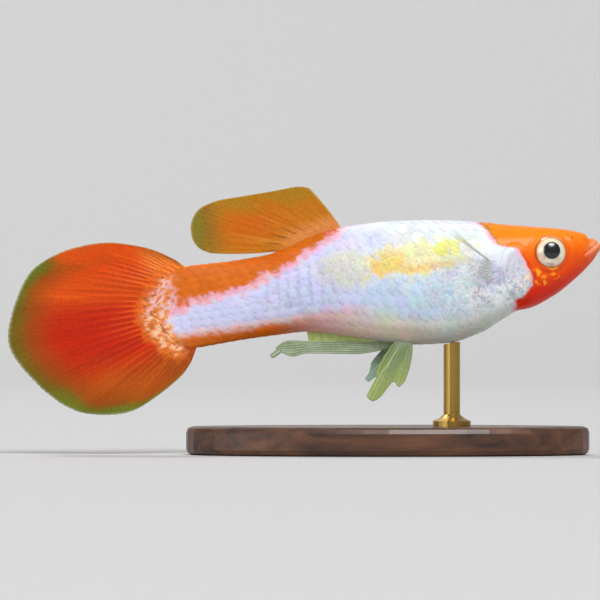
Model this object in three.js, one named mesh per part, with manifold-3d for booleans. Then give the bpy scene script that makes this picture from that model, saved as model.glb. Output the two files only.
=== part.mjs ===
// A fancy guppy, a male with a round tail and drawn-out belly fins, as a life-size museum model on a stand.
// Millimetres, +Z up. The fish swims towards +X with its nose a little raised; its right flank faces -Y.
// The origin is on the underside of the stand's base, below the middle of the model's length.
import * as THREE from "three";
import { mergeVertices } from "three/addons/utils/BufferGeometryUtils.js";
import Module from "manifold-3d";

const wasm = await Module();
wasm.setup();

// Driving dimensions of the whole model
const pitch = THREE.MathUtils.degToRad(8.4); // how far the nose is raised
const snoutX = 25; // the tip of the lower lip, forward of the origin
const snoutZ = 17.6; // and above the floor
const gap = 0.3; // kept between neighbouring pieces
const finThickness = 0.5; // a fin's membrane
const rayRidge = 0.11; // how far a ray stands out of each face of its membrane

// The fish has its own frame: "back" is the distance behind the tip of the lower lip, "up" the height above it.
const headEnd = 9; // where the head ends, behind the gill covers
const trunkEnd = 24.6; // where the trunk ends, under the dorsal fin
const stalkEnd = 34.9; // where the tail stalk ends and the tail fin begins
const ringSides = 36; // points round a section of the body
const lipProud = 0.07; // how far the lower lip stands out of the jaw
const lipHeight = 0.34;
const eyeBack = 4.3;
const eyeUp = 0.17;
const eyeRadius = 1.4;
const eyeDepth = 0.95; // half the eyeball's thickness
const eyeProud = 0.4; // how far the eyeball stands out of the head
const eyeTurn = 0.12; // how far it looks ahead, with the slope of the head
const lensRadius = 0.72;
const lensProud = 0.08;
const lensForward = 0.08; // the lens sits a little forward of the eye's middle, and above it

// Dimensions of the stand
const baseX = 7; // the base's middle, forward of the origin
const baseLength = 34;
const baseWidth = 16;
const baseHeight = 2.4;
const baseBevel = 0.5;
const rodX = 12.4;
const rodGap = 0.1; // between the rod's head and the belly
const rodRadius = 0.7;
const collarRadius = 1.6;
const collarHeight = 0.7;

// A smooth function through [x, y] points that doesn't overshoot them
function profile(points) {
  const last = points.length - 1;
  const slope = points.slice(1).map(([x, y], i) => (y - points[i][1]) / (x - points[i][0]));
  const tangent = points.map((_, i) => {
    if (i === 0) return slope[0];
    if (i === last) return slope[last - 1];
    const [before, after] = [slope[i - 1], slope[i]];
    return before * after <= 0 ? 0 : (2 * before * after) / (before + after);
  });
  return (x) => {
    if (x <= points[0][0]) return points[0][1];
    if (x >= points[last][0]) return points[last][1];
    const i = points.findIndex(([start], k) => k < last && x >= start && x < points[k + 1][0]);
    const width = points[i + 1][0] - points[i][0];
    const t = (x - points[i][0]) / width;
    const rise = t * t * (3 - 2 * t);
    return (
      points[i][1] * (1 - rise) +
      points[i + 1][1] * rise +
      width * t * (1 - t) * ((1 - t) * tangent[i] - t * tangent[i + 1])
    );
  };
}

// The body's shape, each as [back, value]
const topLine = profile([
  [0, 0.1], [0.12, 0.36], [0.35, 0.6], [0.7, 0.82], [0.98, 0.86], [1.2, 1.26], [1.9, 1.58], [3.2, 2.01],
  [5.8, 2.6], [8.5, 3.22], [11.8, 3.95], [14, 4.32], [16.5, 4.64], [19, 4.81], [21.4, 4.83], [24.1, 4.4],
  [26.4, 3.75], [28.2, 3.42], [31, 3.37], [35, 3.52],
]);
const bottomLine = profile([
  [0, -0.12], [0.13, -0.36], [0.35, -0.58], [0.85, -1.16], [2.5, -2.43], [4.7, -3.68], [6.9, -4.38],
  [7.7, -4.42], [9, -4.92], [11.2, -5.8], [13.6, -6.24], [16.6, -6], [21.2, -4.76], [26.5, -3.5], [31, -3.45],
  [35, -3.58],
]);
const halfWidth = profile([
  [0, 0.32], [0.12, 0.62], [0.35, 0.92], [0.7, 1.12], [0.98, 1.16], [1.2, 1.36], [1.9, 1.7], [3.2, 2.15],
  [4.5, 2.42], [6.5, 2.72], [9, 3.02], [12.5, 3.2], [16, 3.1], [19, 2.82], [22, 2.42], [25, 1.98],
  [28, 1.58], [31, 1.22], [35, 0.78],
]);
const widestUp = profile([[0, 0], [1, 0], [4.3, -0.25], [8, -0.7], [13, -1], [20, -0.25], [27, 0], [35, 0]]);
const topSquareness = profile([[0, 2.1], [1.5, 2.6], [6, 2.5], [12, 2.1], [20, 2], [35, 1.9]]);
const bottomSquareness = profile([[0, 2.1], [5, 1.9], [9, 2], [16, 2.1], [24, 1.9], [35, 1.9]]);

// A point of the body's surface: angle 0 is the left flank, a quarter turn is the back. grow swells the body.
function bodyPoint(back, angle, grow = 0) {
  const [c, s] = [Math.cos(angle), Math.sin(angle)];
  const above = s >= 0;
  const power = 2 / (above ? topSquareness(back) : bottomSquareness(back));
  const middle = widestUp(back);
  const height = above ? topLine(back) - middle : middle - bottomLine(back);
  return new THREE.Vector3(
    -back,
    Math.sign(c) * (halfWidth(back) + grow) * Math.abs(c) ** power,
    middle + Math.sign(s) * (height + grow) * Math.abs(s) ** power,
  );
}

// How far out the flank is at a height
function flankAt(back, up) {
  const above = up >= widestUp(back);
  const edge = above ? topLine(back) : bottomLine(back);
  const n = above ? topSquareness(back) : bottomSquareness(back);
  const share = Math.min(1, (up - widestUp(back)) / (edge - widestUp(back)));
  return halfWidth(back) * (1 - share ** n) ** (1 / n);
}

// The height of the belly at a distance out from the middle
function bellyAt(back, out) {
  const n = bottomSquareness(back);
  const share = Math.min(1, Math.abs(out) / halfWidth(back));
  return widestUp(back) - (widestUp(back) - bottomLine(back)) * (1 - share ** n) ** (1 / n);
}

// A closed geometry through rings of points, which are alike in number, with a flat cap at both ends
function loft(rings) {
  const sides = rings[0].length;
  const middles = [rings[0], rings[rings.length - 1]].map((ring) =>
    ring.reduce((sum, p) => sum.add(p), new THREE.Vector3()).divideScalar(sides),
  );
  const points = [...rings.flat(), ...middles];
  const faces = [];
  for (let r = 0; r < rings.length - 1; r++) {
    for (let k = 0; k < sides; k++) {
      const [a, b] = [r * sides + k, r * sides + ((k + 1) % sides)];
      faces.push(a, b, a + sides, b, b + sides, a + sides);
    }
  }
  const lastRing = (rings.length - 1) * sides;
  for (let k = 0; k < sides; k++) {
    const next = (k + 1) % sides;
    faces.push(rings.length * sides, next, k);
    faces.push(rings.length * sides + 1, lastRing + k, lastRing + next);
  }
  return closedGeometry(points, faces);
}

// A geometry of points and triangles, its faces turned outwards where they point in
function closedGeometry(points, faces) {
  const geometry = new THREE.BufferGeometry().setFromPoints(points).setIndex(faces);
  if (solid(geometry).volume() > 0) return geometry;
  const index = geometry.index.array;
  for (let i = 0; i < index.length; i += 3) [index[i + 1], index[i + 2]] = [index[i + 2], index[i + 1]];
  return geometry;
}

// The body from one distance back to another, at the steps given
function bodyLoft(steps, grow = 0) {
  const angles = Array.from({ length: ringSides }, (_, k) => (k / ringSides) * 2 * Math.PI);
  return loft(steps.map((back) => angles.map((angle) => bodyPoint(back, angle, grow))));
}

function spaced(start, end, count) {
  return Array.from({ length: count + 1 }, (_, i) => start + ((end - start) * i) / count);
}

const headSteps = [
  0.02, 0.12, 0.24, 0.38, 0.55, 0.75, 0.92, 1.02, 1.12, 1.24, 1.5, 1.9, 2.4, 3, 3.6, 4.3, 5, 5.8, 6.6, 7.4,
  8.2, headEnd,
];
const trunkSteps = spaced(headEnd + gap, trunkEnd, 13);
const stalkSteps = spaced(trunkEnd + gap, stalkEnd, 9);

// Joining and cutting
function solid(geometry) {
  const bare = geometry.index ? geometry.toNonIndexed() : geometry.clone();
  for (const name of Object.keys(bare.attributes)) if (name !== "position") bare.deleteAttribute(name);
  const merged = mergeVertices(bare, 1e-4);
  return new wasm.Manifold(
    new wasm.Mesh({
      numProp: 3,
      vertProperties: merged.attributes.position.array,
      triVerts: new Uint32Array(merged.index.array),
    }),
  );
}

// The largest closed surface of a solid, as a geometry
function geometryOf(manifold) {
  const largest = manifold.decompose().sort((a, b) => b.volume() - a.volume())[0];
  const { numProp, vertProperties, triVerts } = largest.getMesh();
  const positions = new Float32Array((vertProperties.length / numProp) * 3);
  for (let i = 0; i < positions.length / 3; i++) {
    positions.set(vertProperties.subarray(i * numProp, i * numProp + 3), i * 3);
  }
  const geometry = new THREE.BufferGeometry();
  geometry.setAttribute("position", new THREE.BufferAttribute(positions, 3));
  return geometry.setIndex(new THREE.BufferAttribute(triVerts, 1));
}

// An outline in the side view, as [back, up] points, made solid from one distance out to another
function sideBlock(outline, from, to) {
  const shape = new THREE.Shape(outline.map(([back, up]) => new THREE.Vector2(-back, up)));
  const block = new THREE.ExtrudeGeometry(shape, { depth: to - from, bevelEnabled: false });
  // The shape's plane is turned upright; its thickness then runs towards -Y
  return block.rotateX(Math.PI / 2).translate(0, to, 0);
}

// Materials
const finish = (color, roughness, metalness = 0) =>
  new THREE.MeshStandardMaterial({ color, roughness, metalness });
const materials = {
  cap: finish("#f0700c", 0.35),
  pearl: finish("#e4e8f2", 0.3),
  stalk: finish("#e0915c", 0.35),
  flameFin: finish("#cf3c08", 0.45),
  amberFin: finish("#c47a1a", 0.45),
  clearFin: finish("#c9cfc4", 0.4),
  greenFin: finish("#93ab78", 0.45),
  eye: finish("#f2efe6", 0.15),
  walnut: finish("#4a2c1a", 0.45),
  brass: finish("#b8964e", 0.3, 1),
};

const fish = new THREE.Group();
fish.position.set(snoutX, 0, snoutZ);
fish.rotation.y = -pitch;

function addPiece(group, name, geometry, material) {
  const mesh = new THREE.Mesh(geometry, material);
  mesh.name = name;
  group.add(mesh);
}

const sides = [["right", -1], ["left", 1]];

// Eyes: a flattened ball with a slightly raised lens, turned with the slope of the head
const eyeOut = flankAt(eyeBack, eyeUp) + eyeProud - eyeDepth; // the eyeball's middle, out from the fish's

function eyeball(side, swell = 0) {
  const ball = new THREE.SphereGeometry(1, 20, 12);
  ball.scale(eyeRadius + swell, eyeDepth + swell, eyeRadius + swell);
  return ball.rotateZ(-side * eyeTurn).translate(-eyeBack, side * eyeOut, eyeUp);
}

function eye(side) {
  const lensDepth = lensRadius * 0.4;
  const lens = new THREE.SphereGeometry(lensRadius, 16, 8);
  lens.scale(1, lensDepth / lensRadius, 1);
  lens.translate(lensForward, side * (eyeDepth + lensProud - lensDepth), lensForward);
  lens.rotateZ(-side * eyeTurn).translate(-eyeBack, side * eyeOut, eyeUp);
  return solid(eyeball(side)).add(solid(lens));
}

for (const [word, side] of sides) addPiece(fish, `eye_${word}`, geometryOf(eye(side)), materials.eye);

// Gill covers: curved plates let into the sides of the head
const gillOutline = [
  [6.9, 1], [6.35, 0.2], [6.1, -1], [6.25, -2.4], [6.8, -3.2], [7.5, -3.5], [8.2, -3.05], [8.55, -2],
  [8.6, -0.4], [7.9, 0.75],
];
const gillMiddle = [7.35, -1.2];
const gillProud = 0.14;
const gillThickness = 0.6;

function gillBlock(side, spread) {
  const corners = gillOutline.map(([back, up]) => {
    const away = new THREE.Vector2(back - gillMiddle[0], up - gillMiddle[1]);
    away.setLength(away.length() + spread);
    return new THREE.Vector3(gillMiddle[0] + away.x, gillMiddle[1] + away.y, 0);
  });
  const smooth = new THREE.CatmullRomCurve3(corners, true).getPoints(28).slice(0, -1);
  const outline = smooth.map((p) => [p.x, p.y]);
  return solid(side > 0 ? sideBlock(outline, 0.9, 4) : sideBlock(outline, -4, -0.9));
}

const gillPlate = solid(bodyLoft(spaced(5.5, headEnd, 8), gillProud)).subtract(
  solid(bodyLoft(spaced(5.3, headEnd + gap, 8), gillProud - gillThickness)),
);
const gillFloor = solid(bodyLoft(spaced(5.2, headEnd + gap, 8), gillProud - gillThickness - gap));
for (const [word, side] of sides) {
  addPiece(fish, `gill_cover_${word}`, geometryOf(gillPlate.intersect(gillBlock(side, 0))), materials.pearl);
}

// The head, with the lower jaw cut off along the line of the mouth, and with nostrils, eye sockets and beds for
// the gill covers
const mouthLine = [[-1, 1.05], [0.2, 0.36], [1.55, -0.5]];
const jawOutline = [...mouthLine, [2.6, -1.55], [3.1, -3.6], [-1, -4]];
const jawGap = gap * Math.SQRT1_2; // back, and up: the mouth line runs at about 45 degrees
const nostrilBack = 2.3;
const nostrilUp = 1.05;
const nostrilRadius = 0.17;
const wholeHead = solid(bodyLoft(headSteps));
const lipOutline = [...mouthLine, ...mouthLine.map(([back, up]) => [back, up - lipHeight]).reverse()];
const lip = solid(bodyLoft(headSteps, lipProud)).intersect(solid(sideBlock(lipOutline, -4, 4)));
const lowerJaw = wholeHead.intersect(solid(sideBlock(jawOutline, -4, 4))).add(lip);
addPiece(fish, "lower_jaw", geometryOf(lowerJaw), materials.cap);

let head = wholeHead.subtract(
  solid(sideBlock(jawOutline.map(([back, up]) => [back + jawGap, up + jawGap]), -4, 4)),
);
for (const [, side] of sides) {
  const nostril = new THREE.SphereGeometry(nostrilRadius, 8, 6);
  nostril.translate(-nostrilBack, side * flankAt(nostrilBack, nostrilUp), nostrilUp);
  head = head
    .subtract(solid(eyeball(side, gap)))
    .subtract(solid(nostril))
    .subtract(gillBlock(side, gap).subtract(gillFloor));
}
addPiece(fish, "head", geometryOf(head), materials.cap);

// The trunk and the tail stalk
addPiece(fish, "trunk", bodyLoft(trunkSteps), materials.pearl);
addPiece(fish, "tail_stalk", bodyLoft(stalkSteps), materials.stalk);

// A fin's middle surface, at(u, v): u is the share of the way out along a ray, and v runs from 0 at the first ray
// to 1 at the last. Here the rays fan out from root(v) to tip(v), and curve a little, as sweep says.
function fanned({ root, tip, normal, sweep = 0 }) {
  return (u, v) => {
    const ray = tip(v).sub(root(v));
    const across = new THREE.Vector3().crossVectors(normal, ray);
    return root(v).addScaledVector(ray, u).addScaledVector(across, 4 * sweep * u * (1 - u) * (v - 0.5));
  };
}

// A fin with its rays as ridges on both faces. Both faces have the same triangles, so that a fin that curves
// never crosses itself. thickness(u, v) is the membrane's, and bend(u, v) is how far it leaves its own plane.
const rayPlaces = [-0.5, -0.17, 0, 0.17];

function fin({ rays, rows, at, normal, thickness, bend = () => 0, notch = 0.02 }) {
  const columns = [];
  for (let ray = 0; ray < rays; ray++) {
    for (const place of rayPlaces) {
      columns.push({ v: (ray + 0.5 + place) / rays, ridge: place === 0 ? rayRidge : 0, web: place === -0.5 });
    }
  }
  columns.push({ v: 1, ridge: 0, web: true });
  const faces = [];
  const points = [];
  const rowPlaces = spaced(0, 1, rows);
  for (const face of [1, -1]) {
    for (const { v, ridge, web } of columns) {
      const inner = v > 0 && v < 1 && web;
      const reach = inner ? 1 - notch : 1;
      for (const share of rowPlaces) {
        const u = share * reach;
        const fade = share > 0 ? Math.min(1, (1 - share) * 4) : 0;
        const half = thickness(share, v) / 2 + ridge * fade;
        points.push(at(u, v).addScaledVector(normal, bend(u, v) + face * half));
      }
    }
  }
  const stride = rows + 1;
  const other = columns.length * stride;
  for (let c = 0; c < columns.length - 1; c++) {
    for (let r = 0; r < rows; r++) {
      const [a, b] = [c * stride + r, (c + 1) * stride + r];
      faces.push(a, b, a + 1, b, b + 1, a + 1);
      faces.push(other + a, other + a + 1, other + b, other + b, other + a + 1, other + b + 1);
    }
  }
  const rim = [];
  for (let c = 0; c < columns.length - 1; c++) rim.push(c * stride);
  for (let r = 0; r < rows; r++) rim.push((columns.length - 1) * stride + r);
  for (let c = columns.length - 1; c > 0; c--) rim.push(c * stride + rows);
  for (let r = rows; r > 0; r--) rim.push(r);
  rim.forEach((a, i) => {
    const b = rim[(i + 1) % rim.length];
    faces.push(a, other + a, b, b, other + a, other + b);
  });
  return closedGeometry(points, faces);
}

// A smooth line through [back, up] points, read by a share from 0 to 1
function sideCurve(points) {
  const curve = new THREE.CatmullRomCurve3(points.map(([back, up]) => new THREE.Vector3(-back, 0, up)));
  return (v) => curve.getPointAt(v);
}

const sideways = new THREE.Vector3(0, -1, 0);
const thinningOut = (u) => finThickness * (u > 0.82 ? 1 - (u - 0.82) * 2 : 1);

// The tail fin, a round fan whose thick root carries on from the stalk
const tailMargin = sideCurve([
  [35.7, 4.1], [37.4, 5.2], [39.4, 5.97], [41.4, 6.42], [43.5, 6.42], [45.6, 6.05], [47.7, 5.1], [48.8, 3.85],
  [49.8, 2.15], [50.6, 0.2], [50.68, -1.2], [49.95, -2.9], [48.65, -4.75], [46.85, -6.65], [45.3, -7.55],
  [42.4, -8.08], [40.8, -7.9], [38.4, -6.8], [36.4, -5.5], [35.6, -4.6],
]);
const tailRoot = stalkEnd + gap;
const tailRootHalf = 3.45;
const tailFleshLength = 0.2; // the share of a ray that is thickened by flesh
addPiece(
  fish,
  "caudal_fin",
  fin({
    rays: 20,
    rows: 9,
    at: fanned({
      root: (v) => new THREE.Vector3(-tailRoot, 0, tailRootHalf * (1 - 2 * v)),
      tip: tailMargin,
      normal: sideways,
    }),
    normal: sideways,
    notch: 0.012,
    thickness: (u, v) => {
      const flesh = Math.max(0, 1 - u / tailFleshLength) * (1 - (2 * v - 1) ** 2);
      return thinningOut(u) + flesh * (2 * halfWidth(stalkEnd) - finThickness);
    },
    bend: (u, v) => 0.42 * u * u * Math.sin(v * 7.5 + 0.6),
  }),
  materials.flameFin,
);

// The dorsal fin: a long flag that leans back over the tail stalk
const dorsalRoot = { front: 21.5, rear: 26.3 };
const dorsalMargin = sideCurve([
  [23.6, 8.4], [24.4, 8.68], [26.6, 8.64], [29.4, 8.58], [31.8, 8.5], [33.3, 7.95], [34, 6.9], [34.02, 5.6],
  [33.55, 4.75], [32.7, 4.22],
]);
addPiece(
  fish,
  "dorsal_fin",
  fin({
    rays: 8,
    rows: 7,
    at: fanned({
      root: (v) => {
        const back = THREE.MathUtils.lerp(dorsalRoot.front, dorsalRoot.rear, v);
        return new THREE.Vector3(-back, 0, topLine(back) + gap);
      },
      tip: dorsalMargin,
      normal: sideways,
      sweep: 0.05,
    }),
    normal: sideways,
    notch: 0.012,
    thickness: (u) => thinningOut(u) + 0.35 * Math.max(0, 1 - u * 6),
    bend: (u, v) => 0.25 * u * u * Math.sin(v * 5 + 1),
  }),
  materials.amberFin,
);

// The pectoral fins: small round fans behind the gill covers, held out from the flanks. The first and last rays
// are lifted by these angles.
const pectoral = { back: 9.75, up: -0.7, rootHeight: 1.1, length: 4.9, splay: 0.5, first: 0.89, last: -0.4 };
for (const [word, side] of sides) {
  const out = flankAt(pectoral.back, pectoral.up) + gap + finThickness / 2 + 0.05;
  const rearwards = new THREE.Vector3(-Math.cos(pectoral.splay), side * Math.sin(pectoral.splay), 0);
  const normal = new THREE.Vector3(Math.sin(pectoral.splay), side * Math.cos(pectoral.splay), 0);
  const root = (v) =>
    new THREE.Vector3(-pectoral.back, side * out, pectoral.up + pectoral.rootHeight * (0.5 - v));
  const tip = (v) => {
    const length = pectoral.length * (1 - 0.22 * (2 * v - 0.75) ** 2);
    const lift = THREE.MathUtils.lerp(pectoral.first, pectoral.last, v);
    return root(v)
      .addScaledVector(rearwards, length * Math.cos(lift))
      .add(new THREE.Vector3(0, 0, length * Math.sin(lift)));
  };
  const at = fanned({ root, tip, normal });
  const shape = { rays: 8, rows: 5, at, normal, thickness: thinningOut, notch: 0.03 };
  addPiece(fish, `pectoral_fin_${word}`, fin(shape), materials.clearFin);
}

// The pelvic fins: small fans under the belly whose lobes are drawn out into ribbons. The left one is swept
// further back.
const pelvicRoot = { front: 16.9, rear: 18.1, out: 0.95 };
const pelvicFins = {
  right: {
    splay: 0.2,
    margin: [
      [18.1, -8.9], [18.65, -9.24], [19.02, -8.75], [19.7, -9.3], [20.3, -9.85], [21, -10.12], [21.45, -9.65],
      [20.95, -9.1], [20.45, -8.5], [20.4, -7.9],
    ],
  },
  left: {
    splay: 0.24,
    margin: [
      [18.7, -7.9], [19.4, -8.2], [19.95, -7.95], [20.5, -8.2], [21.1, -8.47], [21.35, -8.2], [21, -7.85],
      [20.75, -7.3], [20.65, -6.95],
    ],
  },
};
for (const [word, side] of sides) {
  const { margin, splay } = pelvicFins[word];
  const curve = sideCurve(margin);
  const root = (v) => {
    const back = THREE.MathUtils.lerp(pelvicRoot.front, pelvicRoot.rear, v);
    return new THREE.Vector3(-back, side * pelvicRoot.out, bellyAt(back, pelvicRoot.out) - gap - 0.02);
  };
  const tip = (v) => {
    const point = curve(v);
    return point.setY(side * (pelvicRoot.out + (root(v).z - point.z) * Math.tan(splay)));
  };
  const normal = new THREE.Vector3(0, Math.cos(splay), side * Math.sin(splay));
  const at = fanned({ root, tip, normal, sweep: 0.12 });
  const shape = { rays: 6, rows: 7, at, normal, thickness: thinningOut, notch: 0.01 };
  addPiece(fish, `pelvic_fin_${word}`, fin(shape), materials.greenFin);
}

// The gonopodium, the male's drawn-out anal fin: a long rayed blade with a hook at its tip, and a low web to the
// belly
const bladeLower = sideCurve([
  [19.3, -6.25], [21.3, -6.03], [23, -5.79], [24.6, -5.54], [26.1, -5.33], [27.1, -5.42], [27.8, -5.1],
  [28.3, -4.75],
]);
const bladeUpper = sideCurve([
  [19.3, -5.68], [21.1, -5.1], [22.9, -4.72], [25.7, -4.3], [27.3, -4.02], [28, -4.2], [28.45, -4.5],
]);
const blade = fin({
  rays: 4,
  rows: 14,
  at: (u, v) => bladeLower(u).lerp(bladeUpper(u), v),
  normal: sideways,
  notch: 0,
  thickness: (u) => finThickness + 0.1 * (1 - u),
});
const webEnds = { front: 19.4, rear: 25.6 };
const webOutline = spaced(webEnds.front, webEnds.rear, 8).map((back) => [back, bottomLine(back) - gap]);
webOutline.push([webEnds.rear, -4.8], [webEnds.front, -6]);
const web = sideBlock(webOutline, -finThickness / 2, finThickness / 2);
const hook = new THREE.SphereGeometry(0.2, 10, 6);
hook.scale(2.4, 1.1, 0.9).rotateY(-0.5).translate(-28.6, 0, -4.98);
addPiece(fish, "gonopodium", geometryOf(solid(blade).add(solid(web)).add(solid(hook))), materials.greenFin);

// The stand: a rounded base, and a rod whose head is shaped to the belly
const stand = new THREE.Group();
const [baseHalfLength, baseHalfWidth] = [baseLength / 2 - baseBevel, baseWidth / 2 - baseBevel];
const baseShape = new THREE.Shape().absellipse(baseX, 0, baseHalfLength, baseHalfWidth, 0, 2 * Math.PI);
const base = new THREE.ExtrudeGeometry(baseShape, {
  depth: baseHeight - 2 * baseBevel,
  bevelSize: baseBevel,
  bevelThickness: baseBevel,
  bevelSegments: 2,
  curveSegments: 24,
});
base.translate(0, 0, baseBevel);
addPiece(stand, "stand_base", geometryOf(solid(base)), materials.walnut);

const rodTop = 12;
const rodOutline = [
  [0, 0], [collarRadius, 0], [collarRadius, collarHeight - 0.25], [rodRadius + 0.35, collarHeight],
  [rodRadius, collarHeight + 0.3], [rodRadius, rodTop], [0, rodTop],
];
const rod = new THREE.LatheGeometry(rodOutline.map(([r, z]) => new THREE.Vector2(r, z)), 24);
rod.rotateX(Math.PI / 2).translate(rodX, 0, baseHeight);
fish.updateMatrix();
const bellyAbove = bodyLoft(trunkSteps, rodGap).applyMatrix4(fish.matrix);
const rodCut = solid(rod).subtract(solid(bellyAbove));
addPiece(stand, "stand_rod", geometryOf(rodCut), materials.brass);

const guppy = new THREE.Group();
guppy.add(fish, stand);

export default guppy;
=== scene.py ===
import math

import bpy
import numpy as np
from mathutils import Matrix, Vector


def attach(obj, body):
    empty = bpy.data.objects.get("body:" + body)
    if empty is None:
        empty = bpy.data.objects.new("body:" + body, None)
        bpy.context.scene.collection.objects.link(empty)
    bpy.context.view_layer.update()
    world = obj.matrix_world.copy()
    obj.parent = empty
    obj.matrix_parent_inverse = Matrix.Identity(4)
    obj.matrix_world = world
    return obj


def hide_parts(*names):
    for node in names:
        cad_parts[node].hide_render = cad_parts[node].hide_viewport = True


bl_info = {
    "name": "Fancy guppy",
    "version": (1, 0, 0),
    "blender": (4, 5, 0),
    "location": "View3D > Sidebar > Guppy",
    "description": "A life-size male guppy with a round tail, held by a rod on a small stand",
    "category": "Object",
}

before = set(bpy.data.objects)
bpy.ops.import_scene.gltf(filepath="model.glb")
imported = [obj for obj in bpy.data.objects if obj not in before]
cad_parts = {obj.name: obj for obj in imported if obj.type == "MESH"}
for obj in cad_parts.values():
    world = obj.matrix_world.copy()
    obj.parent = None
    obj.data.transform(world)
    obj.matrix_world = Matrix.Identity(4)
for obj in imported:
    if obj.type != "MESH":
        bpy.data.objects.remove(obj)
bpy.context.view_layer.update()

# The fish's own frame, in millimetres: "back" is the distance behind the tip of the lower lip, "up" the
# height above it and "out" the distance to the left of the middle. A point is (-back, out, up).
PITCH = math.radians(8.4)
SNOUT_X = 25.0
SNOUT_Z = 17.6
COAT = 0.07  # how far the skin lies inside the CAD solids
BODY_END = 38.28
SIDES = (("right", -1), ("left", 1))
SIDEWAYS = np.array([0.0, -1.0, 0.0])

EYE_BACK = 4.42
EYE_UP = 0.08
EYE_RADIUS = 1.4
EYE_DEPTH = 0.95
EYE_PROUD = 0.4
EYE_TURN = 0.12
PUPIL_RADIUS = 0.71
NOSTRIL = (2.3, 1.05)

SCALE_ROOT = 0.45  # the share of a scale's length that lies ahead of its middle
SCALE_STEPS = np.array([0, 0.3, 0.5, 0.68, 0.83, 0.94, 1])
SCALE_COLUMNS = 6
SCALES_END = 36.3

# Sizes of what the materials show, in millimetres
PLATELET = 1 / 6
PEPPER = 1 / 9
PIGMENT = 2 / 9
IRIS_GRAIN = 1 / 7
TURNING_MARK = 1 / 9
PAPER_FIBRE = 1 / 0.9

WET_IOR = 1.38
SLIME_ROUGHNESS = 0.15

PHOTO_WIDTH = 600  # pixels
FISH_WIDTH = 593  # pixels
FISH_LENGTH = 0.05
LENS = 400
SENSOR = 36
CENTRE = Vector((-0.0004, 0, 0.01305))


def to_linear(code):
    """An sRGB hex colour as linear values."""
    channels = [int(code[i : i + 2], 16) / 255 for i in (1, 3, 5)]
    return tuple(c / 12.92 if c <= 0.04045 else ((c + 0.055) / 1.055) ** 2.4 for c in channels)


def colour(label, code, note):
    return bpy.props.FloatVectorProperty(
        name=label, description=note, default=to_linear(code), size=3, subtype="COLOR", min=0, max=1
    )


def length(label, value, note):
    return bpy.props.FloatProperty(
        name=label, description=note, default=value * 0.001, min=0, unit="LENGTH", precision=5
    )


class GuppySettings(bpy.types.PropertyGroup):
    """Sizes and colours of the guppy"""

    scale_length: length("Scale length", 0.92, "Spacing of the scales along the body")
    scale_rows: bpy.props.IntProperty(
        name="Scale rows", description="Rows of scales on each flank", default=12, min=6, max=16
    )
    scale_proud: length("Scale edge", 0.045, "How far a scale's free edge stands off the skin")
    membrane: length("Fin membrane", 0.14, "Thickness of a fin's membrane near its root")
    ray_height: length("Fin ray", 0.06, "How far a ray stands out of each face of a fin")
    seed: bpy.props.IntProperty(name="Seed", description="Seed of the random variation", default=7, min=0)
    cap: colour("Cap", "#f08000", "Top of the head")
    cheek: colour("Cheek", "#ec5000", "Cheek and snout")
    throat: colour("Throat", "#e62600", "Throat and lower cheek")
    pearl: colour("Pearl", "#dfe5ec", "Back and shoulder")
    lavender: colour("Lavender", "#cdcff2", "Rear of the body")
    ice: colour("Ice blue", "#bfd4ee", "Lower flank")
    gold: colour("Gold", "#e6df62", "Upper flank")
    belly: colour("Belly", "#dde6d9", "Belly")
    ember: colour("Ember", "#d06614", "Bands above and below the tail stalk")
    flame: colour("Flame", "#c42c00", "Tail fin")
    amber: colour("Amber", "#bf7208", "Dorsal fin")
    olive: colour("Olive", "#6a6210", "Edge of the tail fin")
    reed: colour("Reed", "#86996a", "Belly fins")


def smooth_profile(points):
    """A smooth function through (x, y) points that doesn't overshoot them."""
    xs, ys = (np.array(column, float) for column in zip(*points))
    slope = np.diff(ys) / np.diff(xs)
    before, after = slope[:-1], slope[1:]
    same = before * after > 0
    inner = np.where(same, 2 * before * after / np.where(same, before + after, 1), 0)
    tangent = np.concatenate([slope[:1], inner, slope[-1:]])

    def value(x):
        x = np.clip(x, xs[0], xs[-1])
        i = np.clip(np.searchsorted(xs, x, side="right") - 1, 0, len(xs) - 2)
        width = xs[i + 1] - xs[i]
        t = (x - xs[i]) / width
        rise = t * t * (3 - 2 * t)
        bow = width * t * (1 - t) * ((1 - t) * tangent[i] - t * tangent[i + 1])
        return ys[i] * (1 - rise) + ys[i + 1] * rise + bow

    return value


# The body's outline by distance back, the same as in the part's source but closed off inside the tail fin
top_line = smooth_profile([
    (0, 0.1), (0.12, 0.36), (0.35, 0.6), (0.7, 0.82), (0.98, 0.86), (1.2, 1.26), (1.9, 1.58), (3.2, 2.01),
    (5.8, 2.6), (8.5, 3.22), (11.8, 3.95), (14, 4.32), (16.5, 4.64), (19, 4.81), (21.4, 4.83), (24.1, 4.4),
    (26.4, 3.75), (28.2, 3.42), (31, 3.37), (35, 3.5), (36.4, 3.2), (37.4, 2.45), (38, 1.4), (38.3, 0.2),
])
bottom_line = smooth_profile([
    (0, -0.12), (0.13, -0.36), (0.35, -0.58), (0.85, -1.16), (2.5, -2.43), (4.7, -3.68), (6.9, -4.38),
    (7.7, -4.42), (9, -4.92), (11.2, -5.8), (13.6, -6.24), (16.6, -6), (21.2, -4.76), (26.5, -3.5),
    (31, -3.45), (35, -3.56), (36.4, -3.3), (37.4, -2.7), (38, -1.7), (38.3, -0.4),
])
half_width = smooth_profile([
    (0, 0.32), (0.12, 0.62), (0.35, 0.92), (0.7, 1.12), (0.98, 1.16), (1.2, 1.36), (1.9, 1.7), (3.2, 2.15),
    (4.5, 2.42), (6.5, 2.72), (9, 3.02), (12.5, 3.2), (16, 3.1), (19, 2.82), (22, 2.42), (25, 1.98),
    (28, 1.58), (31, 1.22), (35, 0.78), (36.4, 0.48), (37.4, 0.28), (38, 0.19), (38.3, 0.15),
])
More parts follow.
